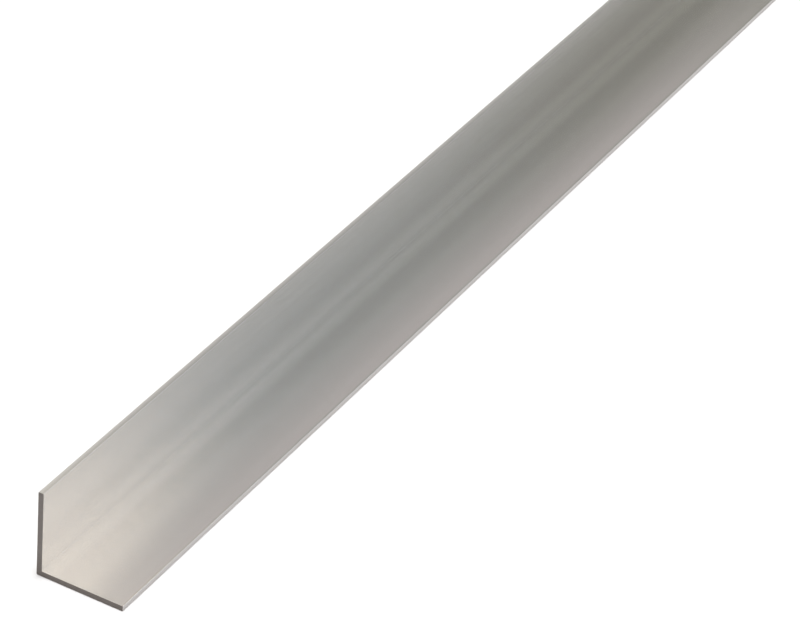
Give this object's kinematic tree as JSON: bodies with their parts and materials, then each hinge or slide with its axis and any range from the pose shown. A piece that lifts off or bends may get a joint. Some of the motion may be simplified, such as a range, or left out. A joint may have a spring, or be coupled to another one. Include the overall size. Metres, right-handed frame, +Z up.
{
  "type": "aluminium angle profile",
  "caption": "Straight equal-leg L section of extruded aluminium with a mill finish, sawn square at both ends, for edging, framing and bracing.",
  "frame": {"origin": "on the floor under the middle of the bar, at the middle of the base leg's width and of the length", "axes": "+Y along the length, +Z up the upright leg, +X from the heel towards the tip of the base leg"},
  "size_m": [0.025, 1, 0.025],
  "materials": {
    "mill_aluminium": "bare mill finish, with fine extrusion lines along the length and sawn ends"
  },
  "bodies": {
    "root": {"angle_profile": "mill_aluminium"}
  },
  "joints": []
}
